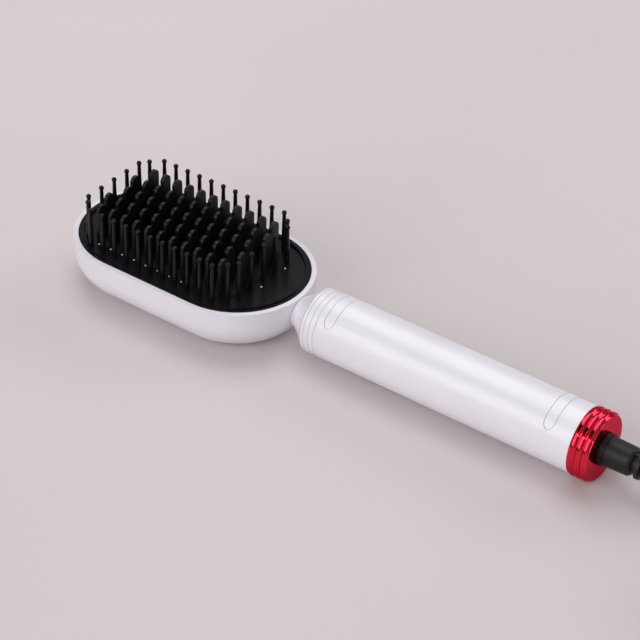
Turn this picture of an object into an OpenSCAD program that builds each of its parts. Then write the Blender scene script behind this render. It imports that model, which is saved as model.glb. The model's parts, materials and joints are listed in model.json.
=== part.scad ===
// Hair straightening brush, lying on its back with the bristles up
// X runs along the handle from the head to the cord, Z is up, the origin is midway on the surface below

/* [Overall] */
// Length from the tip of the head to the face of the end cap
overall_l = 273; // [269:1:285]
// Outer diameter of the handle
handle_d = 30; // [29.6:0.1:30.6]
// Wall of the handle tube
handle_wall = 2.2; // [2:0.1:2.4]

/* [Head] */
// Length of the head tray
head_l = 120; // [120:0.5:123]
// Width of the head tray
head_w = 71; // [70:0.5:71]
// Height of the tray's rim
tray_h = 23.2; // [22.8:0.1:24]
// Wall of the tray
tray_wall = 2.2; // [2:0.1:2.3]
// Radius between the tray's sides and its flat back
tray_round = 16; // [15:0.5:17]

/* [Black face] */
// Thickness of the face frame's platform above its flange
platform_h = 2; // [1.8:0.1:2.2]
// Thickness of the face frame's flange
flange_t = 2; // [1.8:0.1:2.2]
// Width of the bezel ring
bezel_w = 2.5; // [2.3:0.1:2.5]
// Height of the lip above the bezel ring
lip_h = 0.7; // [0.4:0.1:1.2]
// Width of the lip
lip_w = 0.9; // [0.7:0.1:1.2]

/* [Cool pins] */
// Distance from the head's middle to the bristle field's middle, towards the tip
field_shift = 3.6; // [2.6:0.1:3.6]
// Pins along each long side
side_pins = 11; // [9:2:11]
// Distance between pins along the head
pin_pitch = 6.9; // [6.6:0.05:6.9]
// Distance between the pins of an end column
end_pitch = 8.85; // [8.5:0.05:8.9]
// Distance from the side pins to the tray's side
pin_inset = 9.35; // [9.35:0.05:9.6]
// Height of a pin above the platform
pin_h = 20; // [17:0.5:22]
// Diameter of a pin's ball tip
pin_ball_d = 2.35; // [2.1:0.05:2.6]
// Diameter of a pin at its root
pin_root_d = 1.9; // [1.7:0.05:1.9]

/* [Heated teeth] */
// Rows of teeth, side by side across the head
tooth_rows = 5; // [3:2:5]
// Distance between the rows
row_pitch = 9.2; // [8.9:0.05:9.2]
// Height of a tooth above the heating plate
tooth_h = 18.3; // [14:0.1:19]
// Width of a tooth across the head
tooth_w = 5.5; // [4.8:0.1:5.6]
// Thickness of a tooth along the head
tooth_t = 1.6; // [1.4:0.1:1.8]

/* [Neck] */
// Length of the neck from the tray to the handle
neck_l = 10; // [9.5:0.5:12]
// Radius of the neck at the tray
neck_r = 7; // [6.8:0.1:7.6]
// Radius of the neck's hollow flare
flare_r = 46; // [40:2:80]
// Wall of the neck's spigot
neck_wall = 1.2; // [1:0.1:1.3]

/* [Handle details] */
// Grip grooves at the front of the handle
groove_count = 3; // [2:1:3]
// Distance between the grip grooves
groove_pitch = 2.6; // [2.4:0.05:2.7]
// Radius of a groove's round bottom
groove_r = 0.55; // [0.4:0.05:0.65]
// Width of a snap-in screw cover
cover_w = 4.7; // [4.5:0.1:5.2]
// Angle that a screw cover reaches to each side of the top
cover_angle = 57; // [50:1:60]
// Thickness of a screw cover
cover_t = 1.0; // [0.8:0.1:1]
// Angle that the control panel reaches to each side of the bottom
panel_angle = 40; // [38:1:41]

/* [Buttons] */
// Diameter of a button
button_d = 7.8; // [7:0.1:8]
// Travel of a button
button_travel = 0.4; // [0.3:0.05:0.45]
// Distance between the buttons
button_pitch = 12; // [11:0.5:13]

/* [End cap] */
// Length of the visible end cap
cap_l = 9.2; // [9:0.1:10]
// Height of the ridges above the handle
ridge_h = 0.5; // [0.3:0.05:0.6]
// Number of ridges round the end cap
cap_ridges = 3; // [2:1:3]
// Depth of the valleys between the ridges
ridge_depth = 0.9; // [0.6:0.05:1]

/* [Cord] */
// Diameter of the mains cord
cord_d = 6; // [5.8:0.1:6.2]
// Radius of the strain relief's sleeve
relief_r = 6.6; // [6.2:0.1:7]
// Length of the strain relief's straight sleeve
relief_l = 12; // [11:0.5:13]
// Turns in each layer of the stored coil
coil_turns = 3.5; // [3:0.5:3.5]

/* [Hidden] */

// Clearances
seat_gap = 0.2;
run_gap = 0.08;
thread_gap = 0.05;

// Head
head_r = head_w / 2;
head_cx = (head_l - overall_l) / 2;
head_half = head_l / 2 - head_r;
tray_in_r = head_r - tray_wall;
bezel_r = tray_in_r - seat_gap;
bezel_in_r = bezel_r - bezel_w;
platform_r = bezel_in_r - 0.1;
face_z = tray_h - 0.2;
flange_z = face_z - platform_h - flange_t;
bezel_top = tray_h + 0.3;
peg_r = 0.7;
peg_line = bezel_in_r + bezel_w / 2;

// Pins
field_x = head_cx - field_shift;
side_x = [for (i = [0 : side_pins - 1]) (i - (side_pins - 1) / 2) * pin_pitch];
side_y = head_r - pin_inset;
last_x = side_x[side_pins - 1];
corner_x = last_x + 5.1;
corner_y = side_y - 4.55;
end_x = corner_x + 3;
end_y = [for (j = [-2 : 2]) j * end_pitch];

// Heating plate
heat_top = face_z - seat_gap;
heat_flange_t = 1.6;
heat_bottom = flange_z - heat_flange_t;
heat_skin = 3;
heat_hx = last_x + (pin_pitch + tooth_t) / 2 + 0.85;
heat_hy = ((tooth_rows - 1) * row_pitch + tooth_w) / 2 + 1.05;
heat_corner = 9;
window_gap = 0.25;
heat_lip = 1.6;
ear_x = heat_hx + 5;
ear_y = 13;
ear_r = 3;
heater_t = 2.6;
heater_l = 2 * heat_hx - 22;
heater_w = 12;
heater_y = 9;
film_t = 0.3;
pocket_z = heat_top - heat_skin;
pressure_t = 1.2;
pressure_z = pocket_z - heater_t - 2 * film_t - pressure_t;
post_r = 2.4;
post_x = heater_l / 2 + 5;
shield_t = 0.8;
shield_z = 9;
stud_x = 30;
stud_y = 12;

// Tray details that hold the face
hook_x = [-22, 0, 22];
hook_y = tray_in_r - 2.6;
hook_t = 1.2;
catch_z = flange_z - 4.2;
rib_x = [-11, 11];
rib_in = tray_in_r - 1.6;

// Handle
handle_r = handle_d / 2;
handle_in_r = handle_r - handle_wall;
axis_z = handle_r + ridge_h;
neck_x0 = head_cx + head_l / 2;
neck_x1 = neck_x0 + neck_l;
cap_x1 = overall_l / 2;
cap_x0 = cap_x1 - cap_l;
groove_x0 = neck_x1 + 1.9;
groove_end = groove_x0 + (groove_count - 1) * groove_pitch + groove_r;
panel_x0 = groove_end + 1.2;
panel_x1 = cap_x0 - 7.3;
front_screw_x = panel_x0 + 3.8;
rear_screw_x = panel_x1 - 4.2;
inner_r = handle_in_r - seat_gap;
cover_in_r = handle_r - cover_t;
recess_in_r = cover_in_r - seat_gap;

// Handle screws
head_seat_z = axis_z + 9;
boss_split_z = axis_z + 2;
boss_r = 3.7;
panel_boss_r = 3;
screw_head_r = 2.1;
screw_head_h = 1.6;
screw_r = 1.05;
pilot_r = screw_r + thread_gap;
screw_hole_r = screw_r + 0.15;

// Board and controls
board_t = 1.6;
board_z = axis_z - 6.5;
board_hw = 8.6;
board_x0 = front_screw_x + 6;
board_x1 = rear_screw_x - 14;
display_x = board_x0 + 18;
display_l = 22;
display_w = 9;
window_z = axis_z - handle_r + 1.2;
button_x0 = display_x + 27;
button_r = button_d / 2;
button_x = [for (i = [0 : 2]) button_x0 + i * button_pitch];
flange_r = button_r + 0.9;
flange_seat_z = axis_z - sqrt(pow(handle_in_r, 2) - pow(flange_r, 2)) + 0.18;
button_flange_t = 0.8;
switch_z = flange_seat_z + button_flange_t + button_travel + 0.1;
standoff_x = [board_x0 + 3, board_x1 - 3];
standoff_y = 5;
lead_r = 0.9;

// Neck
spigot_r = flange_z - axis_z - 0.1;
spigot_bore = spigot_r - neck_wall;
clip_t = 3;
clip_r = 7;
collar_in_l = 6;

// End cap and swivel
cap_r = handle_r + ridge_h;
cap_spigot_l = 6.2;
cap_end_t = 2.4;
cap_in_r = inner_r - 1.7;
swivel_r = 4.9;
swivel_flange_r = 7.4;
hub_r = 3.6;
ring_r = 4.3;
ring_w = 1.6;

// Strain relief
relief_x0 = cap_x1 + seat_gap;
collar_r = relief_r + 0.7;
collar_l = 2.2;
tail_x0 = relief_x0 + collar_l + relief_l;
tail_bend = 45;
tail_angle = 30;
tail_end = [tail_x0 + tail_bend * sin(tail_angle), tail_bend * (1 - cos(tail_angle)), axis_z];
tail_dir = [cos(tail_angle), sin(tail_angle), 0];
relief_ribs = 7;

// Stored coil, wound clockwise as seen from above, inwards below and outwards on top
tie_t = 0.8;
cord_low = tie_t + 0.1 + cord_d / 2;
layer_step = cord_d + 0.8;
coil_in_r = 24;
coil_out_r = coil_in_r + coil_turns * layer_step;
coil_start = 90 + tail_angle;
coil_total = 2 * coil_turns + 0.5;
rings_per_turn = 24;
free_l = 52;
coil_join = tail_end + (free_l + cord_d) * tail_dir;
coil_x = coil_join[0] - coil_out_r * cos(coil_start);
coil_y = coil_join[1] - coil_out_r * sin(coil_start);
coil_end = coil_start - 360 * coil_total;

// Plug
plug_t = 13.7;
plug_z = cord_low + layer_step + cord_d / 2 + 0.3 + plug_t / 2;
plug_pin_y = 9.3;

// Flat outlines

module stadium(half, r) {
    square([2 * half, 2 * r], center = true);
    for (s = [-1, 1])
        translate([s * half, 0])
            circle(r = r, $fn = 128);
}

module stadium_plate(r, z0, z1) {
    translate([head_cx, 0, z0])
        linear_extrude(z1 - z0)
            stadium(head_half, r);
}

module rounded_rect(hx, hy, r) {
    square([2 * (hx - r), 2 * hy], center = true);
    square([2 * hx, 2 * (hy - r)], center = true);
    for (sx = [-1, 1])
        for (sy = [-1, 1])
            translate([sx * (hx - r), sy * (hy - r)])
                circle(r = r, $fn = 64);
}

// Solid form of the tray, with an upright side and a round edge to its flat floor

module bowl_profile(r, floor_z, round_r, top_z) {
    translate([0, floor_z + round_r])
        square([r, top_z - floor_z - round_r]);
    translate([0, floor_z])
        square([r - round_r, round_r]);
    intersection() {
        translate([r - round_r, floor_z + round_r])
            circle(r = round_r, $fn = 128);
        translate([r - round_r, floor_z])
            square([round_r, round_r]);
    }
}

module bowl(r, floor_z, round_r, top_z) {
    translate([head_cx, 0, 0]) {
        for (s = [0, 1])
            rotate([0, 0, s * 180])
                translate([head_half, 0, 0])
                    rotate([0, 0, -90])
                        rotate_extrude(angle = 180, $fn = 128)
                            bowl_profile(r, floor_z, round_r, top_z);
        translate([-head_half, 0, 0])
            rotate([90, 0, 90])
                linear_extrude(2 * head_half) {
                    bowl_profile(r, floor_z, round_r, top_z);
                    mirror([1, 0])
                        bowl_profile(r, floor_z, round_r, top_z);
                }
    }
}

// The tray's inner form, pulled in by a gap
module cavity(gap, top_z) {
    bowl(tray_in_r - gap, tray_wall + gap, tray_round - tray_wall - gap, top_z);
}

// Solids round the handle's axis

module x_cyl(r, x0, x1) {
    translate([x0, 0, axis_z])
        rotate([0, 90, 0])
            cylinder(r = r, h = x1 - x0, $fn = 96);
}

module x_cone(r0, r1, x0, x1) {
    translate([x0, 0, axis_z])
        rotate([0, 90, 0])
            cylinder(r1 = r0, r2 = r1, h = x1 - x0, $fn = 96);
}

module x_tube(r, r_in, x0, x1) {
    difference() {
        x_cyl(r, x0, x1);
        x_cyl(r_in, x0 - 1, x1 + 1);
    }
}

// Part of a tube, half_angle to each side of the direction that lies at turn degrees from straight down
module sector(r_in, r_out, half_angle, x0, x1, turn = 0) {
    translate([x0, 0, axis_z])
        rotate([0, 90, 0])
            rotate([0, 0, turn - half_angle])
                rotate_extrude(angle = 2 * half_angle, $fn = 128)
                    translate([r_in, 0])
                        square([r_out - r_in, x1 - x0]);
}

// Screw with its head below z0 and its shaft above it
module screw_up(l, head_r, head_h) {
    translate([0, 0, -head_h])
        cylinder(r = head_r, h = head_h, $fn = 32);
    cylinder(r = screw_r, h = l, $fn = 32);
}

// Straight pieces of wire joined by slightly thicker balls
module wire(points, r) {
    for (i = [0 : len(points) - 2])
        let (step = points[i + 1] - points[i], l = norm(step))
            translate(points[i])
                rotate([0, acos(step[2] / l), atan2(step[1], step[0])])
                    cylinder(r = r, h = l, $fn = 24);
    for (i = [1 : len(points) - 2])
        translate(points[i])
            sphere(r = r + 0.12, $fn = 24);
}

// Head

module head_housing() {
    color("white")
        difference() {
            union() {
                difference() {
                    bowl(head_r, 0, tray_round, tray_h);
                    cavity(0, tray_h + 1);
                }
                intersection() {
                    bowl(head_r - 1, 1, tray_round - 1, flange_z);
                    tray_details();
                }
                for (sx = [-1, 1])
                    for (sy = [-1, 1])
                        translate([head_cx + sx * stud_x, sy * stud_y, tray_wall - 0.5]) {
                            cylinder(r = 2.5, h = shield_z - tray_wall + 0.5, $fn = 48);
                            cylinder(r = 1.1, h = shield_z - tray_wall + 2.1, $fn = 32);
                        }
            }
            x_cyl(spigot_r + seat_gap, neck_x0 - tray_wall - 6, neck_x0 + 1);
        }
}

// Ribs under the face frame's flange and catches for its hooks
module tray_details() {
    for (s = [-1, 1]) {
        for (x = rib_x)
            translate([head_cx + x - 1, s > 0 ? rib_in : -head_r, 0])
                cube([2, head_r - rib_in, flange_z]);
        for (a = [-40, 40])
            translate([head_cx + s * head_half, 0, 0])
                rotate([0, 0, a + 90 * (1 - s)])
                    translate([rib_in, -1, 0])
                        cube([head_r - rib_in, 2, flange_z]);
        for (x = hook_x)
            translate([head_cx + x - 3, s > 0 ? hook_y + hook_t + seat_gap : -head_r, catch_z])
                cube([6, head_r - hook_y - hook_t - seat_gap, 1.4]);
    }
}

module bezel() {
    color([0.06, 0.06, 0.07])
        union() {
            difference() {
                union() {
                    stadium_plate(bezel_r, flange_z + flange_t, bezel_top);
                    stadium_plate(bezel_in_r + lip_w, bezel_top - 0.5, bezel_top + lip_h);
                }
                stadium_plate(bezel_in_r, flange_z, bezel_top + lip_h + 1);
            }
            for (p = peg_places())
                translate([head_cx + p[0], p[1], flange_z + 0.4])
                    cylinder(r = peg_r, h = flange_t, $fn = 32);
        }
}

function peg_places() = concat(
    [for (x = [-head_half, 0, head_half]) for (s = [-1, 1]) [x, s * peg_line]],
    [for (s = [-1, 1]) [s * (head_half + peg_line), 0]]);

module pin() {
    shaft_top = pin_h - pin_ball_d / 2;
    cylinder(r1 = pin_root_d / 2, r2 = 0.34 * pin_ball_d, h = shaft_top, $fn = 32);
    translate([0, 0, shaft_top])
        sphere(r = pin_ball_d / 2, $fn = 32);
}

function pin_places() = concat(
    [for (x = side_x) for (s = [-1, 1]) [x, s * side_y]],
    [for (s = [-1, 1]) for (t = [-1, 1]) [s * corner_x, t * corner_y]],
    [for (s = [-1, 1]) for (y = end_y) [s * end_x, y]]);

function ear_places() = [for (sx = [-1, 1]) for (sy = [-1, 1]) [sx * ear_x, sy * ear_y]];

module face_frame() {
    barb_z = catch_z - seat_gap - 1.2;
    color([0.05, 0.05, 0.06])
        difference() {
            union() {
                stadium_plate(bezel_r, flange_z, flange_z + flange_t);
                stadium_plate(platform_r, flange_z, face_z);
                for (p = pin_places())
                    translate([field_x + p[0], p[1], face_z])
                        pin();
                for (x = hook_x)
                    for (s = [0, 1])
                        translate([head_cx + x, 0, 0])
                            rotate([0, 0, 180 * s]) {
                                translate([-2.5, hook_y, barb_z])
                                    cube([5, hook_t, flange_z - barb_z + 0.5]);
                                translate([-2.5, hook_y, barb_z])
                                    cube([5, hook_t + 1, 1.2]);
                            }
            }
            translate([field_x, 0, flange_z - 1])
                linear_extrude(flange_t + platform_h + 2)
                    rounded_rect(heat_hx + window_gap, heat_hy + window_gap, heat_corner + window_gap);
            for (p = peg_places())
                translate([head_cx + p[0], p[1], flange_z - 1])
                    cylinder(r = peg_r + thread_gap, h = flange_t + 1.5, $fn = 32);
            for (p = ear_places())
                translate([field_x + p[0], p[1], flange_z - 1])
                    cylinder(r = pilot_r, h = 4, $fn = 32);
        }
}

// Heated part of the face

module tooth() {
    rotate([90, 0, 90])
        translate([0, 0, -tooth_t / 2])
            linear_extrude(tooth_t) {
                translate([-tooth_w / 2, 0])
                    square([tooth_w, tooth_h - tooth_w / 2]);
                translate([0, tooth_h - tooth_w / 2])
                    circle(d = tooth_w, $fn = 48);
            }
}

function post_places() = [for (sx = [-1, 1]) for (sy = [-1, 1]) [sx * post_x, sy * heater_y]];

module heating_plate() {
    post_z = pressure_z + pressure_t;
    color([0.08, 0.08, 0.09])
        difference() {
            union() {
                translate([field_x, 0, heat_bottom])
                    linear_extrude(heat_top - heat_bottom)
                        rounded_rect(heat_hx, heat_hy, heat_corner);
                translate([field_x, 0, heat_bottom])
                    linear_extrude(heat_flange_t) {
                        rounded_rect(heat_hx + heat_lip, heat_hy + heat_lip, heat_corner + heat_lip);
                        for (s = [-1, 1])
                            translate([0, s * ear_y])
                                stadium(ear_x, ear_r);
                    }
                for (row = [0 : tooth_rows - 1])
                    let (n = side_pins + row % 2)
                        for (i = [0 : n - 1])
                            translate([field_x + (i - (n - 1) / 2) * pin_pitch,
                                    (row - (tooth_rows - 1) / 2) * row_pitch, heat_top - 0.2])
                                tooth();
                for (p = post_places())
                    translate([field_x + p[0], p[1], post_z])
                        cylinder(r = post_r, h = heat_bottom - post_z + 0.5, $fn = 48);
            }
            for (s = [-1, 1])
                translate([field_x - heater_l / 2 - 1, s * heater_y - heater_w / 2 - 1, heat_bottom - 1])
                    cube([heater_l + 2, heater_w + 2, pocket_z - heat_bottom + 1]);
            for (p = post_places())
                translate([field_x + p[0], p[1], post_z - 1])
                    cylinder(r = pilot_r, h = 5, $fn = 32);
            for (p = ear_places())
                translate([field_x + p[0], p[1], heat_bottom - 1])
                    cylinder(r = screw_hole_r, h = heat_flange_t + 2, $fn = 32);
        }
}

module heater_block(z0, t, grow) {
    for (s = [-1, 1])
        translate([field_x - heater_l / 2 - grow, s * heater_y - heater_w / 2 - grow, z0])
            cube([heater_l + 2 * grow, heater_w + 2 * grow, t]);
}

module heater_elements() {
    color("silver")
        heater_block(pocket_z - film_t - heater_t, heater_t, 0);
}

module insulation_film() {
    color([0.85, 0.6, 0.2]) {
        heater_block(pocket_z - film_t, film_t, 0.7);
        heater_block(pocket_z - 2 * film_t - heater_t, film_t, 0.7);
    }
}

module pressure_plate() {
    color("lightgray")
        difference() {
            translate([field_x, 0, pressure_z])
                linear_extrude(pressure_t)
                    rounded_rect(post_x + 4.5, heater_y + heater_w / 2 + 1, 3);
            for (p = post_places())
                translate([field_x + p[0], p[1], pressure_z - 1])
                    cylinder(r = screw_hole_r, h = pressure_t + 2, $fn = 32);
        }
}

module pressure_screws() {
    color("silver")
        for (p = post_places())
            translate([field_x + p[0], p[1], pressure_z])
                screw_up(pressure_t + 3.6, screw_head_r, 1.3);
}

module face_screws() {
    color("silver")
        for (p = ear_places())
            translate([field_x + p[0], p[1], heat_bottom])
                screw_up(heat_flange_t + 2.6, screw_head_r, 1.3);
}

module heat_shield() {
    color([0.8, 0.72, 0.5])
        difference() {
            stadium_plate(tray_in_r - 4.8, shield_z, shield_z + shield_t);
            for (sx = [-1, 1])
                for (sy = [-1, 1])
                    translate([head_cx + sx * stud_x, sy * stud_y, shield_z - 1])
                        cylinder(r = 1.3, h = shield_t + 2, $fn = 32);
        }
}

module thermal_fuse() {
    color("gainsboro")
        translate([field_x - 9, 0, pressure_z - 1.8])
            rotate([0, 90, 0]) {
                cylinder(r = 1.8, h = 9, $fn = 32);
                translate([0, 0, -7])
                    cylinder(r = 0.4, h = 23, $fn = 24);
            }
}

module temperature_sensor() {
    color("saddlebrown")
        translate([field_x + 12, heater_y, pressure_z - 1.2])
            rotate([0, 90, 0]) {
                cylinder(r = 1.2, h = 3.6, $fn = 32);
                cylinder(r = 0.45, h = 12, $fn = 24);
            }
}

// Neck

module flare() {
    run = sqrt(pow(neck_l, 2) + pow(handle_r - neck_r, 2));
    drop = sqrt(pow(flare_r, 2) - pow(run / 2, 2));
    translate([neck_x0, 0, axis_z])
        rotate([0, 90, 0])
            rotate_extrude($fn = 128)
                difference() {
                    polygon([[0, 0], [neck_r, 0], [handle_r, neck_l], [0, neck_l]]);
                    translate([(neck_r + handle_r) / 2 + drop * neck_l / run,
                            neck_l / 2 - drop * (handle_r - neck_r) / run])
                        circle(r = flare_r, $fn = 360);
                }
}

module neck() {
    color("white")
        difference() {
            union() {
                flare();
                x_cyl(neck_r, neck_x0 - 4, neck_x0 + 0.1);
                x_cyl(inner_r, neck_x1 - 0.1, neck_x1 + collar_in_l);
                x_cyl(spigot_r, neck_x0 - tray_wall - clip_t - 1, neck_x0);
            }
            difference() {
                bowl(head_r + 0.15, -0.15, tray_round + 0.15, tray_h + 20);
                x_cyl(spigot_r, neck_x0 - 20, neck_x1);
            }
            x_cyl(spigot_bore, neck_x0 - 20, neck_x1 + 1);
            x_cone(spigot_bore, inner_r - 1.8, neck_x0 + 2, neck_x1);
            x_cyl(inner_r - 1.8, neck_x1, neck_x1 + collar_in_l + 1);
        }
}

// Fork pushed up over the spigot from below, under the face frame's flange
module neck_clip() {
    x0 = neck_x0 - tray_wall - clip_t - 0.5;
    color("lightgray")
        difference() {
            intersection() {
                x_cyl(clip_r, x0, neck_x0);
                cavity(0.15, axis_z + 1.5);
            }
            x_cyl(spigot_r + thread_gap, x0 - 1, neck_x0 + 1);
        }
}

// Handle

// Strip across the top with round ends, a part of a tube
module cover_shape(x, r_in, r_out, gap) {
    half = handle_r * sin(cover_angle) - cover_w / 2;
    intersection() {
        x_tube(r_out, r_in, x - 8, x + 8);
        translate([x, 0, axis_z])
            rotate([0, 0, 90])
                linear_extrude(handle_d)
                    stadium(half, cover_w / 2 + gap);
    }
}

module handle_shell() {
    color("white")
        difference() {
            union() {
                difference() {
                    x_tube(handle_r, handle_in_r, neck_x1 + 0.15, cap_x0);
                    sector(handle_in_r - 1, handle_r + 1, panel_angle, panel_x0, panel_x1);
                }
                for (s = [-1, 1]) {
                    sector(handle_in_r - 1.4, inner_r, 4, panel_x0 + 0.4, panel_x1 - 0.4,
                        s * (panel_angle - 1));
                    sector(handle_in_r - 1.3, handle_in_r + 0.3, 2.6, panel_x0 - 0.8, panel_x1 + 0.8,
                        s * (panel_angle + 3.5));
                }
                for (x = [front_screw_x, rear_screw_x])
                    intersection() {
                        x_cyl(handle_in_r + 0.6, x - 10, x + 10);
                        translate([x, 0, boss_split_z])
                            cylinder(r = boss_r, h = handle_r, $fn = 64);
                    }
            }
            for (x = [front_screw_x, rear_screw_x]) {
                cover_shape(x, recess_in_r, handle_r + 1, seat_gap);
                translate([x, 0, head_seat_z])
                    cylinder(r = screw_head_r + 0.15, h = handle_r, $fn = 48);
                translate([x, 0, boss_split_z - 1])
                    cylinder(r = screw_hole_r, h = handle_r, $fn = 48);
            }
            for (i = [0 : groove_count - 1])
                translate([groove_x0 + i * groove_pitch, 0, axis_z])
                    rotate([0, 90, 0])
                        rotate_extrude($fn = 128)
                            translate([handle_r + 0.05, 0])
                                circle(r = groove_r, $fn = 24);
        }
}

module front_screw_cover() {
    color([0.96, 0.95, 0.97])
        cover_shape(front_screw_x, cover_in_r, handle_r, 0);
}

module rear_screw_cover() {
    color([0.96, 0.95, 0.97])
        cover_shape(rear_screw_x, cover_in_r, handle_r, 0);
}

module handle_screws() {
    color("silver")
        for (x = [front_screw_x, rear_screw_x])
            translate([x, 0, head_seat_z])
                rotate([180, 0, 0])
                    screw_up(18, screw_head_r, screw_head_h);
}

module control_panel() {
    edge = panel_angle - 0.8;
    bottom_z = axis_z - handle_r;
    boss_top = boss_split_z - seat_gap;
    color("white")
        difference() {
            union() {
                sector(handle_in_r, handle_r, edge, panel_x0 + seat_gap, panel_x1 - seat_gap);
                for (x = [front_screw_x, rear_screw_x])
                    translate([x, 0, bottom_z + 1.2])
                        cylinder(r = panel_boss_r, h = boss_top - bottom_z - 1.2, $fn = 48);
                for (x = standoff_x)
                    for (s = [-1, 1])
                        translate([x, s * standoff_y, bottom_z + 2.5])
                            cylinder(r = 2, h = board_z - bottom_z - 2.5, $fn = 32);
            }
            for (x = [front_screw_x, rear_screw_x])
                translate([x, 0, bottom_z + 4])
                    cylinder(r = pilot_r, h = handle_d, $fn = 32);
            for (x = standoff_x)
                for (s = [-1, 1])
                    translate([x, s * standoff_y, board_z - 3.4])
                        cylinder(r = pilot_r, h = 5, $fn = 32);
            for (x = button_x)
                translate([x, 0, -1])
                    cylinder(r = button_r + run_gap, h = 7, $fn = 64);
            translate([display_x - display_l / 2 - 0.1, -display_w / 2 - 0.1, -1])
                cube([display_l + 0.2, display_w + 0.2, window_z + 1]);
            translate([display_x - display_l / 2 + 1, -display_w / 2 + 1, -1])
                cube([display_l - 2, display_w - 2, 7]);
        }
}

module display_window() {
    color([0.1, 0.1, 0.12, 0.6])
        intersection() {
            sector(handle_r - 3, handle_r - 0.1, 30, display_x - display_l / 2, display_x + display_l / 2);
            translate([display_x - display_l / 2, -display_w / 2, -1])
                cube([display_l, display_w, window_z + 1]);
        }
}

module display_module() {
    low_z = axis_z - sqrt(pow(handle_in_r, 2) - pow(display_w / 2 + 1, 2)) + 0.15;
    color([0.1, 0.12, 0.14])
        translate([display_x - display_l / 2 - 1, -display_w / 2 - 1, low_z])
            cube([display_l + 2, display_w + 2, board_z - low_z]);
}

module circuit_board() {
    color([0.05, 0.3, 0.12])
        difference() {
            translate([board_x0, -board_hw, board_z])
                cube([board_x1 - board_x0, 2 * board_hw, board_t]);
            for (x = standoff_x)
                for (s = [-1, 1])
                    translate([x, s * standoff_y, board_z - 1])
                        cylinder(r = screw_hole_r, h = board_t + 2, $fn = 32);
        }
}

module board_parts() {
    top_z = board_z + board_t;
    color("dimgray") {
        translate([board_x0 + 26, -5, top_z])
            cube([14, 10, 7]);
        translate([board_x0 + 48, 0, top_z])
            cylinder(r = 4, h = 9, $fn = 48);
        translate([board_x0 + 58, -5, top_z])
            cube([4.5, 10, 8]);
    }
}

module board_screws() {
    color("silver")
        for (x = standoff_x)
            for (s = [-1, 1])
                translate([x, s * standoff_y, board_z + board_t])
                    rotate([180, 0, 0])
                        screw_up(board_t + 2.8, 1.9, 1.2);
}

module push_button(x) {
    color("whitesmoke") {
        intersection() {
            x_cyl(handle_r - 0.3, x - button_d, x + button_d);
            translate([x, 0, 0])
                cylinder(r = button_r, h = flange_seat_z + 0.2, $fn = 64);
        }
        translate([x, 0, flange_seat_z])
            cylinder(r = flange_r, h = button_flange_t, $fn = 64);
    }
}

module power_button() {
    push_button(button_x[0]);
}

module plus_button() {
    push_button(button_x[1]);
}

module minus_button() {
    push_button(button_x[2]);
}

module tactile_switches() {
    body_z = switch_z + 0.9;
    color("dimgray")
        for (x = button_x) {
            translate([x, 0, switch_z])
                cylinder(r = 1.7, h = board_z - switch_z, $fn = 32);
            translate([x - 3, -3, body_z])
                cube([6, 6, board_z - body_z]);
        }
}

module heater_leads() {
    x0 = field_x + post_x + 8;
    rest_z = board_z + board_t + lead_r;
    color("firebrick")
        for (s = [-1, 1])
            swept([[x0 - 4, s * 4, pressure_z - 1], [x0, s * 4, axis_z], [neck_x0 - 9, s * 1.1, axis_z],
                [neck_x1, s * 1.1, axis_z], [front_screw_x - 3, s * 6, axis_z],
                [board_x0 + 5.5, s * 6, axis_z], [board_x0 + 10, s * 6, rest_z],
                [board_x0 + 15, s * 6, rest_z]], 2 * lead_r, 16, [1, 0, 0], [1, 0, 0]);
}

module mains_leads() {
    high_z = axis_z + 3;
    foot_x = board_x1 - 8;
    color("dodgerblue")
        for (s = [-1, 1])
            wire([[foot_x, s * 5.6, board_z + board_t], [foot_x, s * 5.6, high_z],
                [cap_x0 - 3, s * 5.6, high_z]], lead_r);
}

// End cap and swivel

function ridge_points() = [for (i = [0 : cap_ridges - 1]) let (step = (cap_l - 0.5) / cap_ridges) each [
    [cap_r - (i == 0 ? 0.3 : ridge_depth), i * step + 0.1],
    [cap_r, (i + 0.35) * step],
    [cap_r, (i + 0.65) * step]]];

module end_cap() {
    color([0.72, 0.08, 0.12])
        difference() {
            union() {
                translate([cap_x0, 0, axis_z])
                    rotate([0, 90, 0])
                        rotate_extrude($fn = 128)
                            polygon(concat([[0, 0.1]], ridge_points(),
                                [[cap_r - ridge_depth, cap_l - 0.4], [cap_r - ridge_depth, cap_l - 0.2],
                                [cap_r - ridge_depth - 0.2, cap_l], [0, cap_l]]));
                x_cyl(inner_r, cap_x0 - cap_spigot_l, cap_x0 + 1);
            }
            x_cyl(cap_in_r, cap_x0 - cap_spigot_l - 1, cap_x1 - cap_end_t);
            x_cyl(swivel_r + run_gap, cap_x0, cap_x1 + 1);
        }
}

module contact_block() {
    x0 = cap_x0 - 3;
    x1 = cap_x0 + 3.4;
    color("darkgoldenrod")
        union() {
            x_tube(cap_in_r - seat_gap, ring_r + 0.8, x0, x1);
            for (s = [0, 1])
                translate([cap_x0 - 1.9 + 3 * s, 0, axis_z])
                    rotate([180 * s, 0, 0])
                        translate([0, -0.6, ring_r + run_gap])
                            cube([1.2, 1.2, 1.5]);
        }
}

module swivel_core() {
    color("whitesmoke") {
        x_cyl(swivel_r, cap_x1 - cap_end_t - 0.3, relief_x0);
        x_cyl(swivel_flange_r, cap_x1 - cap_end_t - 2.2, cap_x1 - cap_end_t - seat_gap);
        x_cyl(hub_r, cap_x0 - 3.2, cap_x1 - cap_end_t - 2);
    }
}

module slip_rings() {
    color("gold")
        for (x = [cap_x0 - 2.1, cap_x0 + 0.9])
            x_tube(ring_r, hub_r, x, x + ring_w);
}

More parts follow.
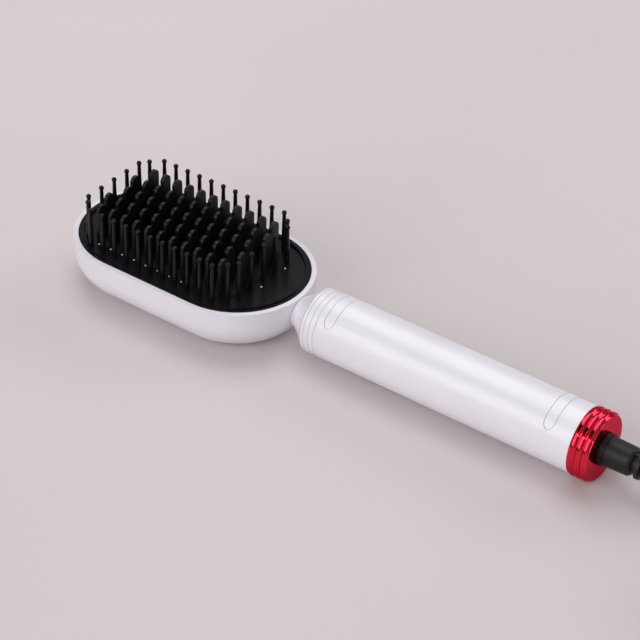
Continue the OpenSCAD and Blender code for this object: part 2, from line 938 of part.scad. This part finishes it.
module strain_relief() {
    core_r = cord_d / 2 + 0.9;
    color([0.09, 0.09, 0.1]) {
        x_cyl(collar_r, relief_x0, relief_x0 + collar_l);
        x_cone(relief_r, relief_r - 0.3, relief_x0 + 1, tail_x0 - 1.2);
        x_cone(relief_r - 0.3, relief_r - 1.2, tail_x0 - 1.2, tail_x0);
        translate([tail_x0, tail_bend, axis_z])
            rotate([0, 0, -90])
                rotate_extrude(angle = tail_angle, $fn = 128)
                    translate([tail_bend, 0]) {
                        circle(r = core_r, $fn = 48);
                        square([1.6, 9.4], center = true);
                    }
        for (i = [0 : relief_ribs - 1])
            let (a = (i + 0.85) * tail_angle / (relief_ribs + 0.3))
                translate([tail_x0 + tail_bend * sin(a), tail_bend * (1 - cos(a)), axis_z])
                    rotate([0, 0, a])
                        rotate([0, 90, 0])
                            cylinder(r = relief_r - 0.5 - 0.22 * i, h = 1.8, center = true, $fn = 48);
    }
}

// Sweeping a round cord along its centreline

function unit(v) = v / norm(v);

function sides_at(p, dir, r, n) =
    let (side = unit(cross(dir, [0, 0, 1])), rise = cross(side, dir))
    [for (k = [0 : n - 1]) p + r * (cos(360 * k / n) * side + sin(360 * k / n) * rise)];

function direction(route, i) = unit(route[i + 1] - route[i - 1]);

module swept(route, d, n, first, last) {
    m = len(route);
    dirs = [for (i = [0 : m - 1]) i == 0 ? first : i == m - 1 ? last : direction(route, i)];
    points = [for (i = [0 : m - 1]) each sides_at(route[i], dirs[i], d / 2, n)];
    walls = [for (i = [0 : m - 2]) for (k = [0 : n - 1])
        let (a = i * n + k, b = i * n + (k + 1) % n)
        each [[a, b, b + n], [a, b + n, a + n]]];
    caps = [for (k = [1 : n - 2]) each [[0, k + 1, k], [(m - 1) * n, (m - 1) * n + k, (m - 1) * n + k + 1]]];
    polyhedron(points = points, faces = concat(walls, caps), convexity = 10);
}

// Least distance between the sides of two stretches of a route that lie more than near rings apart
function least_gap(route, near, d) = min([for (i = [0 : len(route) - near - 1])
    for (j = [i + near : len(route) - 1]) norm(route[i] - route[j])]) - d;

// Free stretch, straight on from the strain relief and down to the surface
// Each point is a distance along it and a height
cord_profile = [[0, axis_z], [6, axis_z], [12, 14.9], [18, 13.1], [24, 10.6], [30, 7.9], [36, 5.6],
    [42, 4.3], [46, cord_low], [free_l, cord_low]];
cord_route = [for (p = cord_profile) [tail_end[0], tail_end[1], p[1]] + p[0] * tail_dir];

module cord() {
    color([0.09, 0.09, 0.1])
        swept(cord_route, cord_d, 10, tail_dir, tail_dir);
}

// The coil's centreline after t turns: inwards, a half turn that climbs to the upper layer, and outwards

function coil_dir(angle) = [sin(angle), -cos(angle), 0];

function coil_radius(t) =
    t < coil_turns + 0.25 ? coil_out_r - t * layer_step : coil_out_r - (coil_total - t) * layer_step;

function coil_height(t) = cord_low + layer_step * min(1, max(0, (t - coil_turns) / 0.5));

function coil_point(t) =
    let (angle = coil_start - 360 * t)
    [coil_x + coil_radius(t) * cos(angle), coil_y + coil_radius(t) * sin(angle), coil_height(t)];

coil_turn_points = [for (i = [0 : coil_total * rings_per_turn]) coil_point(i / rings_per_turn)];
coil_last = coil_point(coil_total) + cord_d * coil_dir(coil_end);
coil_route = concat([coil_point(0) - cord_d * coil_dir(coil_start)], coil_turn_points, [coil_last]);
echo(coil_gap = least_gap(coil_route, 12, cord_d));

module cord_coil() {
    color([0.09, 0.09, 0.1])
        swept(coil_route, cord_d, 6, coil_dir(coil_start), coil_dir(coil_end));
}

// Tail from the coil's outer end over the ring to the plug
// Each point is a distance on from the end, a distance inwards and a height above the upper layer
tail_ahead = coil_dir(coil_end);
tail_inward = [tail_ahead[1], -tail_ahead[0], 0];
plug_rise = plug_z - cord_low - layer_step;
tail_points = [[0, 0, 0], [6, 0, 0], [12.7, 0.9, 0.5], [19, 3.5, 2], [24.4, 7.6, 4], [28.5, 13, 6.3],
    [31.1, 19.3, 8.4], [32, 26, 9.7], [32, 32, plug_rise], [32, 38, plug_rise]];
tail_route = [for (p = tail_points) coil_last + p[0] * tail_ahead + p[1] * tail_inward + [0, 0, p[2]]];
plug_at = tail_route[len(tail_route) - 1];

module cord_tail() {
    color([0.09, 0.09, 0.1])
        swept(tail_route, cord_d, 10, tail_ahead, tail_inward);
}

module coil_tie() {
    angle = 30;
    w = 10;
    r0 = coil_in_r - layer_step / 4 - cord_d / 2 - 1.2;
    r1 = coil_out_r + cord_d / 2 + 0.5;
    z1 = cord_low + layer_step + cord_d / 2 + 0.4;
    color([0.12, 0.12, 0.13])
        translate([coil_x, coil_y, 0])
            rotate([0, 0, angle])
                translate([0, w / 2, 0])
                    rotate([90, 0, 0])
                        linear_extrude(w)
                            difference() {
                                translate([r0 - tie_t, 0])
                                    square([r1 - r0 + 2 * tie_t, z1 + tie_t]);
                                translate([r0, tie_t])
                                    square([r1 - r0, z1 - tie_t]);
                            }
}

// Flat two pin plug, lying on the ring with its pins level

module plug_place() {
    translate(plug_at)
        rotate([0, 0, atan2(tail_inward[1], tail_inward[0])])
            children();
}

module plug_body() {
    color([0.09, 0.09, 0.1])
        plug_place()
            difference() {
                translate([0, 0, -plug_t / 2])
                    linear_extrude(plug_t)
                        polygon([[0, -5.5], [4, -5.5], [10, -16], [13, -17.6], [24, -17.6], [26, -15.8],
                            [26, 15.8], [24, 17.6], [13, 17.6], [10, 16], [4, 5.5], [0, 5.5]]);
                for (s = [-1, 1])
                    translate([21, s * plug_pin_y, 0])
                        rotate([0, 90, 0])
                            cylinder(r = 2 + thread_gap, h = 8, $fn = 32);
                for (s = [-1, 1])
                    for (x = [14.5, 17, 19.5])
                        translate([x, -12, s * (plug_t / 2 + 0.3)])
                            rotate([-90, 0, 0])
                                cylinder(r = 0.7, h = 24, $fn = 24);
            }
}

module plug_pins() {
    color("silver")
        plug_place()
            for (s = [-1, 1])
                translate([21, s * plug_pin_y, 0]) {
                    rotate([0, 90, 0])
                        cylinder(r = 2, h = 22, $fn = 32);
                    translate([22, 0, 0])
                        sphere(r = 2, $fn = 32);
                }
}

head_housing();
bezel();
face_frame();
heating_plate();
heater_elements();
insulation_film();
pressure_plate();
pressure_screws();
heat_shield();
thermal_fuse();
temperature_sensor();
face_screws();
neck();
neck_clip();
handle_shell();
control_panel();
front_screw_cover();
rear_screw_cover();
handle_screws();
circuit_board();
board_parts();
board_screws();
display_module();
display_window();
power_button();
plus_button();
minus_button();
tactile_switches();
heater_leads();
mains_leads();
end_cap();
contact_block();
swivel_core();
slip_rings();
strain_relief();
cord();
cord_coil();
cord_tail();
coil_tie();
plug_body();
plug_pins();
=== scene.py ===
"""Looks of the hair straightening brush: camera, cord, materials, trim, floor and light.

The scene is in metres, in the frame of the CAD part. The numbers of the cord, the trim
and the rounded edges are in millimetres until they are multiplied by MM.
"""

import json
from math import cos, pi, radians, sin

import bmesh
import bpy
from mathutils import Matrix, Vector


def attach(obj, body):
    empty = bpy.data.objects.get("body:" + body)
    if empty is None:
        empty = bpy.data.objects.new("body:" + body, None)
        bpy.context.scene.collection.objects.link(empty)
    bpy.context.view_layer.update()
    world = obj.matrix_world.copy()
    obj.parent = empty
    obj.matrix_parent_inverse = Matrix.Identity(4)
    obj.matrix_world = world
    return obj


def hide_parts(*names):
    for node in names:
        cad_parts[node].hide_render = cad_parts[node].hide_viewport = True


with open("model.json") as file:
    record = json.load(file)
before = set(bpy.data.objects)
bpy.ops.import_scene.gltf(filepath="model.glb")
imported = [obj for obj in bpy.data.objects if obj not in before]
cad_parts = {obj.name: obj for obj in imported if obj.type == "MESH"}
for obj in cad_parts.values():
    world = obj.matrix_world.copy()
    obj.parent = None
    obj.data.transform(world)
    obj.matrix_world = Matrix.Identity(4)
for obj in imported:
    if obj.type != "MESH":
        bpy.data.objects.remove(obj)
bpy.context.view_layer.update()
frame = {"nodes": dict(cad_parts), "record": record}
nodes = frame["nodes"]
MM = 0.001

# Camera: fitted to the photograph.

CAMERA_AT = Vector((415.53, -611.56, 567.55)) * MM
CAMERA_AZIMUTH = radians(34.589)
CAMERA_ELEVATION = radians(36.619)
CAMERA_ROLL = radians(2.014)
CAMERA_LENS = 118.96
CAMERA_SENSOR = 36
CAMERA_CLIP = (0.01, 20)


def link(thing):
    bpy.context.scene.collection.objects.link(thing)
    return thing


def make_camera():
    back = Vector(
        (
            sin(CAMERA_AZIMUTH) * cos(CAMERA_ELEVATION),
            -cos(CAMERA_AZIMUTH) * cos(CAMERA_ELEVATION),
            sin(CAMERA_ELEVATION),
        )
    )
    level = Vector((cos(CAMERA_AZIMUTH), sin(CAMERA_AZIMUTH), 0))
    rise = back.cross(level)
    right = cos(CAMERA_ROLL) * level + sin(CAMERA_ROLL) * rise
    up = -sin(CAMERA_ROLL) * level + cos(CAMERA_ROLL) * rise
    data = bpy.data.cameras.new("camera")
    data.lens = CAMERA_LENS
    data.sensor_width = CAMERA_SENSOR
    data.clip_start, data.clip_end = CAMERA_CLIP
    camera = link(bpy.data.objects.new("camera", data))
    turn = Matrix((right, up, back)).transposed().to_4x4()
    camera.matrix_world = Matrix.Translation(CAMERA_AT) @ turn
    bpy.context.scene.camera = camera


make_camera()

# Materials: one for each slot of the record, and one for the studs, whose near-white
# colour paints glints.

TONES_AT = (0.35, 0.65)
GRAIN_STRENGTH = 0.35
GRAIN_DETAIL = 2

materials = {}


def new_material(name):
    material = bpy.data.materials.new(name)
    material.use_nodes = True
    shader = material.node_tree.nodes["Principled BSDF"]
    return material, material.node_tree, shader


def add(tree, kind, **values):
    """A new shader node with its properties and the defaults of its inputs set."""
    node = tree.nodes.new(kind)
    for key, value in values.items():
        if hasattr(node, key):
            setattr(node, key, value)
        else:
            node.inputs[key.replace("_", " ").title()].default_value = value
    return node


def object_noise(tree, scale, detail=3):
    where = tree.nodes.new("ShaderNodeTexCoord")
    noise = add(tree, "ShaderNodeTexNoise", scale=scale, detail=detail)
    tree.links.new(where.outputs["Object"], noise.inputs["Vector"])
    return noise


def two_tones(tree, fac, dark, light):
    ramp = tree.nodes.new("ShaderNodeValToRGB")
    stops = ramp.color_ramp.elements
    for stop, place, tone in zip(stops, TONES_AT, (dark, light)):
        stop.position = place
        stop.color = (*tone, 1)
    tree.links.new(fac, ramp.inputs["Fac"])
    return ramp.outputs["Color"]


def bump(tree, height, strength, distance):
    node = add(tree, "ShaderNodeBump", strength=strength, distance=distance)
    tree.links.new(height, node.inputs["Height"])
    return node.outputs["Normal"]


def mottled(name, dark, light, roughness, scale, relief=0.0, relief_scale=900, **inputs):
    """Make a material of two close tones in soft patches, with an optional fine grain.

    The relief is the grain's depth in metres. The other inputs go to the shader as named.
    """
    material, tree, shader = new_material(name)
    patches = object_noise(tree, scale)
    tree.links.new(
        two_tones(tree, patches.outputs["Fac"], dark, light),
        shader.inputs["Base Color"],
    )
    shader.inputs["Roughness"].default_value = roughness
    for key, value in inputs.items():
        shader.inputs[key.replace("_", " ")].default_value = value
    if relief:
        grain = object_noise(tree, relief_scale, GRAIN_DETAIL)
        tree.links.new(
            bump(tree, grain.outputs["Fac"], GRAIN_STRENGTH, relief),
            shader.inputs["Normal"],
        )
    materials[name] = material


mottled(
    "white_gloss", (0.80, 0.775, 0.83), (0.84, 0.815, 0.87), 0.3, 25, 0.00001, 200,
    Coat_Weight=0.2, Coat_Roughness=0.12,
)
mottled(
    "white_key", (0.72, 0.72, 0.74), (0.76, 0.76, 0.78), 0.45, 60, 0.00003,
)
mottled(
    "black_gloss", (0.004, 0.004, 0.005), (0.008, 0.007, 0.008), 0.16, 40,
    Specular_IOR_Level=0.25,
)
mottled(
    "black_plastic", (0.004, 0.004, 0.005), (0.008, 0.007, 0.008), 0.24, 90,
    Specular_IOR_Level=0.22,
)
mottled(
    "black_coating", (0.004, 0.0035, 0.004), (0.009, 0.008, 0.009), 0.36, 120,
    Specular_IOR_Level=0.24,
)
mottled(
    "black_rubber", (0.007, 0.006, 0.007), (0.012, 0.011, 0.012), 0.46, 110, 0.00002,
    Specular_IOR_Level=0.3,
)
mottled(
    "black_strap", (0.014, 0.014, 0.015), (0.028, 0.028, 0.030), 0.8, 500, 0.00008, 1400,
)
mottled(
    "plain_steel", (0.52, 0.52, 0.53), (0.62, 0.62, 0.63), 0.3, 200, Metallic=1.0,
)
mottled(
    "aluminium", (0.68, 0.68, 0.69), (0.76, 0.76, 0.77), 0.38, 150, Metallic=1.0,
)
mottled(
    "brass", (0.66, 0.46, 0.16), (0.76, 0.56, 0.22), 0.25, 150, Metallic=1.0,
)
# Near white, much brighter than steel: this colour paints the glints of the face.
mottled(
    "painted_glint_white", (0.86, 0.86, 0.87), (0.94, 0.94, 0.95), 0.25, 300, Metallic=0.4,
)
mottled("amber_film", (0.5, 0.27, 0.06), (0.62, 0.36, 0.1), 0.3, 90)
mottled("mica_board", (0.46, 0.41, 0.3), (0.58, 0.53, 0.41), 0.55, 140)
mottled("brown_glass", (0.2, 0.09, 0.04), (0.3, 0.15, 0.07), 0.12, 90)
mottled("green_board", (0.015, 0.13, 0.04), (0.03, 0.2, 0.07), 0.35, 260)
mottled("dark_window", (0.01, 0.01, 0.012), (0.016, 0.016, 0.02), 0.08, 30)
mottled("red_wire", (0.42, 0.03, 0.02), (0.52, 0.05, 0.04), 0.45, 90)
mottled("blue_wire", (0.03, 0.1, 0.4), (0.05, 0.14, 0.5), 0.45, 90)
mottled(
    "red_mirror_metal", (0.74, 0.026, 0.058), (0.82, 0.036, 0.074), 0.07, 70,
    Metallic=1.0, Specular_Tint=(0.9, 0.5, 0.56, 1), Coat_Weight=0.05,
    Coat_Roughness=0.02,
)


def dress_cad_nodes():
    for part in frame["record"]["subparts"]:
        node = nodes[part["node"]]
        node.data.materials.clear()
        node.data.materials.append(materials[part["material_slot"]])


# Cord: the route of the CAD part's cord, coil and tail as one line.

CORD_D = 6 * MM
AXIS_Z = 15.5
TAIL_X = 150.9
TAIL_BEND = 45
TAIL_ANGLE = radians(30)
TURNS = 3.5
CLIMB_TURNS = 0.5
TOTAL_TURNS = 2 * TURNS + CLIMB_TURNS
LAYER_STEP = 6.8
LOW_Z = 3.9
INNER_R = 24
OUTER_R = INNER_R + TURNS * LAYER_STEP
RINGS_PER_TURN = 24
FREE_L = 52
LEAD_IN = 6
PLUG_RISE = 10.15
CORD_BEVEL = 5
CORD_RESOLUTION = 3
CORD_ORDER = 3

tail_dir = Vector((cos(TAIL_ANGLE), sin(TAIL_ANGLE), 0))
tail_end = Vector(
    (
        TAIL_X + TAIL_BEND * sin(TAIL_ANGLE),
        TAIL_BEND * (1 - cos(TAIL_ANGLE)),
        AXIS_Z,
    )
)
coil_start = pi / 2 + TAIL_ANGLE
coil_join = tail_end + (FREE_L + LEAD_IN) * tail_dir
coil_centre = coil_join - OUTER_R * Vector((cos(coil_start), sin(coil_start), 0))


def free_points():
    """The stretch from the strain relief down to the coil, by distance and height."""
    profile = [
        (0, AXIS_Z), (6, AXIS_Z), (12, 14.9), (18, 13.1), (24, 10.6), (30, 7.9),
        (36, 5.6), (42, 4.3), (46, LOW_Z), (FREE_L, LOW_Z),
    ]
    return [Vector((*(tail_end + s * tail_dir).xy, z)) for s, z in profile]


def heading(angle):
    return Vector((sin(angle), -cos(angle), 0))


def coil_point(t):
    """Centre of the cord after t turns: inwards, a climbing half turn, and outwards."""
    angle = coil_start - 2 * pi * t
    way = t if t < TURNS + CLIMB_TURNS / 2 else TOTAL_TURNS - t
    r = OUTER_R - way * LAYER_STEP
    z = LOW_Z + LAYER_STEP * min(1, max(0, (t - TURNS) / CLIMB_TURNS))
    return Vector((coil_centre.x + r * cos(angle), coil_centre.y + r * sin(angle), z))


def coil_points():
    count = round(TOTAL_TURNS * RINGS_PER_TURN)
    return [coil_point(i / RINGS_PER_TURN) for i in range(count + 1)]


def tail_points():
    """From the coil's outer end over the ring to the plug: on, inwards and up."""
    ahead = heading(coil_start - 2 * pi * TOTAL_TURNS)
    inward = Vector((ahead.y, -ahead.x, 0))
    last = coil_point(TOTAL_TURNS) + LEAD_IN * ahead
    route = [
        (0, 0, 0), (6, 0, 0), (12.7, 0.9, 0.5), (19, 3.5, 2), (24.4, 7.6, 4),
        (28.5, 13, 6.3), (31.1, 19.3, 8.4), (32, 26, 9.7), (32, 32, PLUG_RISE),
        (32, 38, PLUG_RISE),
    ]
    return [last + a * ahead + b * inward + Vector((0, 0, c)) for a, b, c in route]


def make_cord():
    points = [p * MM for p in free_points() + coil_points() + tail_points()]
    curve = bpy.data.curves.new("mains_cord", "CURVE")
    curve.dimensions = "3D"
    curve.bevel_depth = CORD_D / 2
    curve.bevel_resolution = CORD_BEVEL
    curve.use_fill_caps = True
    curve.resolution_u = CORD_RESOLUTION
    line = curve.splines.new("NURBS")
    line.points.add(len(points) - 1)
    for spot, point in zip(line.points, points):
        spot.co = (*point, 1)
    line.order_u = CORD_ORDER
    line.use_endpoint_u = True
    curve.materials.append(materials["black_rubber"])
    cord = link(bpy.data.objects.new("mains_cord", curve))
    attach(cord, "cord_set")
    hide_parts("cord", "cord_coil", "cord_tail")


make_cord()
dress_cad_nodes()

# Trim of the face: ten near-white studs that paint glints on the face, and a sleeve on
# each pin.

FIELD_X = -80.1
FACE_Z = 23.0

STUD_R = 0.45
STUD_FLAT = 0.6
STUD_GRID = (20, 12)
STUD_ROW = (-32.5, -23.15)
STUD_PITCH = 6.75
STUD_COUNT = 8
END_STUDS = [(44.9, -4.4), (44.9, 13.3)]

PIN_PITCH = 6.9
PINS_EACH_WAY = 5
SIDE_Y = 26.15
CORNER = (39.6, 21.6)
END_X = 42.6
END_YS = (-17.7, -8.85, 0, 8.85, 17.7)
SHAFT_R = (1.2, 0.82)
SHAFT_L = 18.9
SHAFT_SIDES = 24


def smooth_piece(name, shape, material):
    """Turn a bmesh on the face into a smooth piece that rides the brush."""
    for face in shape.faces:
        face.smooth = True
    mesh = bpy.data.meshes.new(name)
    shape.to_mesh(mesh)
    shape.free()
    piece = link(bpy.data.objects.new(name, mesh))
    piece.data.materials.append(materials[material])
    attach(piece, "brush")


def stud_places():
    """The places of the painted glints: a row along the near side and two by the end
    column, relative to the field.
    """
    x0, y = STUD_ROW
    return [(x0 + STUD_PITCH * i, y) for i in range(STUD_COUNT)] + END_STUDS


# Small domes coloured near white: painted glints on the face.
def make_painted_glints():
    columns, rings = STUD_GRID
    squash = Matrix.Diagonal((1, 1, STUD_FLAT, 1))
    shape = bmesh.new()
    for x, y in stud_places():
        place = Matrix.Translation(Vector((FIELD_X + x, y, FACE_Z)) * MM)
        bmesh.ops.create_uvsphere(
            shape, u_segments=columns, v_segments=rings, radius=STUD_R * MM,
            matrix=place @ squash,
        )
    smooth_piece("face_painted_glints", shape, "painted_glint_white")


def pin_places():
    """Both long sides, the four corners and the two ends, relative to the field."""
    steps = range(-PINS_EACH_WAY, PINS_EACH_WAY + 1)
    places = [(i * PIN_PITCH, s * SIDE_Y) for i in steps for s in (-1, 1)]
    places += [(s * CORNER[0], t * CORNER[1]) for s in (-1, 1) for t in (-1, 1)]
    return places + [(s * END_X, y) for s in (-1, 1) for y in END_YS]


def make_pin_shafts():
    """Thin tapered sleeves that give the pins their thicker roots."""
    root_r, top_r = SHAFT_R
    shape = bmesh.new()
    for x, y in pin_places():
        middle = Vector((FIELD_X + x, y, FACE_Z + SHAFT_L / 2)) * MM
        bmesh.ops.create_cone(
            shape, segments=SHAFT_SIDES, radius1=root_r * MM, radius2=top_r * MM,
            depth=SHAFT_L * MM, cap_ends=False, matrix=Matrix.Translation(middle),
        )
    smooth_piece("pin_shafts", shape, "black_plastic")


make_painted_glints()
make_pin_shafts()

# Edges: the welding distance and the width of each node's rounds, in millimetres.

SHARP = radians(32)
WELD_WITHIN = 0.002
ROUND_SEGMENTS = 3
ROUNDED = {
    "head_housing": 0.55,
    "bezel": 0.18,
    "face_frame": 0.12,
    "heating_plate": 0.32,
    "end_cap": 0.08,
    "plug_body": 1.4,
    "neck": 0.12,
    "handle_shell": 0.09,
    "front_screw_cover": 0.09,
    "rear_screw_cover": 0.09,
    "strain_relief": 0.25,
    "coil_tie": 0.12,
}


def smooth_group():
    """Nodes that shade a welded mesh smooth and keep the edges above an angle sharp."""
    group = bpy.data.node_groups.new("smooth_by_angle", "GeometryNodeTree")
    for side in ("INPUT", "OUTPUT"):
        group.interface.new_socket(
            "Mesh", in_out=side, socket_type="NodeSocketGeometry"
        )
    start = group.nodes.new("NodeGroupInput")
    end = group.nodes.new("NodeGroupOutput")
    faces = group.nodes.new("GeometryNodeSetShadeSmooth")
    faces.domain = "FACE"
    edges = group.nodes.new("GeometryNodeSetShadeSmooth")
    edges.domain = "EDGE"
    angle = group.nodes.new("GeometryNodeInputMeshEdgeAngle")
    blunt = group.nodes.new("FunctionNodeCompare")
    blunt.operation = "LESS_THAN"
    blunt.inputs["B"].default_value = SHARP
    group.links.new(angle.outputs["Unsigned Angle"], blunt.inputs["A"])
    group.links.new(blunt.outputs["Result"], edges.inputs["Shade Smooth"])
    group.links.new(start.outputs[0], faces.inputs["Geometry"])
    group.links.new(faces.outputs["Geometry"], edges.inputs["Geometry"])
    group.links.new(edges.outputs["Geometry"], end.inputs[0])
    return group


def round_edges():
    """Smooth shading, and small rounds on the edges that the solids keep sharp."""
    group = smooth_group()
    for name, node in nodes.items():
        if node.hide_render:
            continue
        normals = node.data.attributes.get("custom_normal")
        if normals:
            node.data.attributes.remove(normals)
        weld = node.modifiers.new("weld", "WELD")
        weld.merge_threshold = WELD_WITHIN * MM
        if name in ROUNDED:
            bevel = node.modifiers.new("rounds", "BEVEL")
            bevel.width = ROUNDED[name] * MM
            bevel.segments = ROUND_SEGMENTS
            bevel.limit_method = "ANGLE"
            bevel.angle_limit = SHARP
        smooth = node.modifiers.new("smooth", "NODES")
        smooth.node_group = group
        if name in ROUNDED:
            weights = node.modifiers.new("weights", "WEIGHTED_NORMAL")
            weights.keep_sharp = True


round_edges()

# Floor and light.

FLOOR_SIZE = 12
FLOOR_TONES = ((0.655, 0.592, 0.600), (0.690, 0.625, 0.633))
FLOOR_PATCHES = (3.5, 4)
FLOOR_ROUGHNESS = 0.75
FLOOR_SPECULAR = 0.2

# Each area light: name, place, target, width and height, and power in watts.
LIGHTS = [
    ("key", (-0.5, 0.45, 1.5), (0, 0, 0), (1.2, 1.2), 11),
    ("front", (-0.5, -2.6, 1.5), (0, 0, 0), (3.2, 2.0), 50),
    ("back", (0.6, 2.0, 1.2), (0, 0, 0), (1.8, 0.8), 12),
    ("strip", (0.75, -0.35, 0.62), (0.13, 0, 0.015), (0.06, 0.5), 0.5),
]
SKY_COLOUR = (0.985, 0.97, 1.0, 1)
SKY_LEVEL = 0.34

# The dark patch of the sky that the ridges of the end cap mirror, with its angles
# in degrees.
GAP_TOWARD = (-0.456, -0.25, 0.856)
GAP_HALF_ANGLE = 14
GAP_SOFT = 4


def make_floor():
    bpy.ops.mesh.primitive_plane_add(size=FLOOR_SIZE, location=(0, 0, 0))
    floor = bpy.context.object
    floor.name = "floor"
    material, tree, shader = new_material("pale_floor")
    cloud = object_noise(tree, *FLOOR_PATCHES)
    tree.links.new(
        two_tones(tree, cloud.outputs["Fac"], *FLOOR_TONES),
        shader.inputs["Base Color"],
    )
    shader.inputs["Roughness"].default_value = FLOOR_ROUGHNESS
    shader.inputs["Specular IOR Level"].default_value = FLOOR_SPECULAR
    floor.data.materials.append(material)


def area_light(name, place, target, size, power):
    data = bpy.data.lights.new(name, "AREA")
    data.shape = "RECTANGLE"
    data.size, data.size_y = size
    data.energy = power
    light = link(bpy.data.objects.new(name, data))
    light.location = place
    aim = Vector(target) - Vector(place)
    light.rotation_euler = aim.to_track_quat("-Z", "Y").to_euler()


def dark_gap(tree, toward, half_angle, soft):
    """A factor that is 0 within an angle of a direction of the sky and 1 outside it."""
    where = tree.nodes.new("ShaderNodeTexCoord")
    dot = add(tree, "ShaderNodeVectorMath", operation="DOT_PRODUCT")
    tree.links.new(where.outputs["Generated"], dot.inputs[0])
    dot.inputs[1].default_value = Vector(toward).normalized()
    fade = tree.nodes.new("ShaderNodeMapRange")
    fade.inputs["From Min"].default_value = cos(radians(half_angle + soft))
    fade.inputs["From Max"].default_value = cos(radians(half_angle))
    fade.inputs["To Min"].default_value = 1
    fade.inputs["To Max"].default_value = 0
    tree.links.new(dot.outputs["Value"], fade.inputs["Value"])
    return fade.outputs["Result"]


def make_sky():
    world = bpy.data.worlds.new("world")
    world.use_nodes = True
    bpy.context.scene.world = world
    tree = world.node_tree
    sky = tree.nodes["Background"]
    sky.inputs["Color"].default_value = SKY_COLOUR
    level = add(tree, "ShaderNodeMath", operation="MULTIPLY")
    gap = dark_gap(tree, GAP_TOWARD, GAP_HALF_ANGLE, GAP_SOFT)
    tree.links.new(gap, level.inputs[0])
    level.inputs[1].default_value = SKY_LEVEL
    tree.links.new(level.outputs["Value"], sky.inputs["Strength"])


make_floor()
for light_row in LIGHTS:
    area_light(*light_row)
make_sky()
bpy.context.scene.view_settings.view_transform = "Standard"
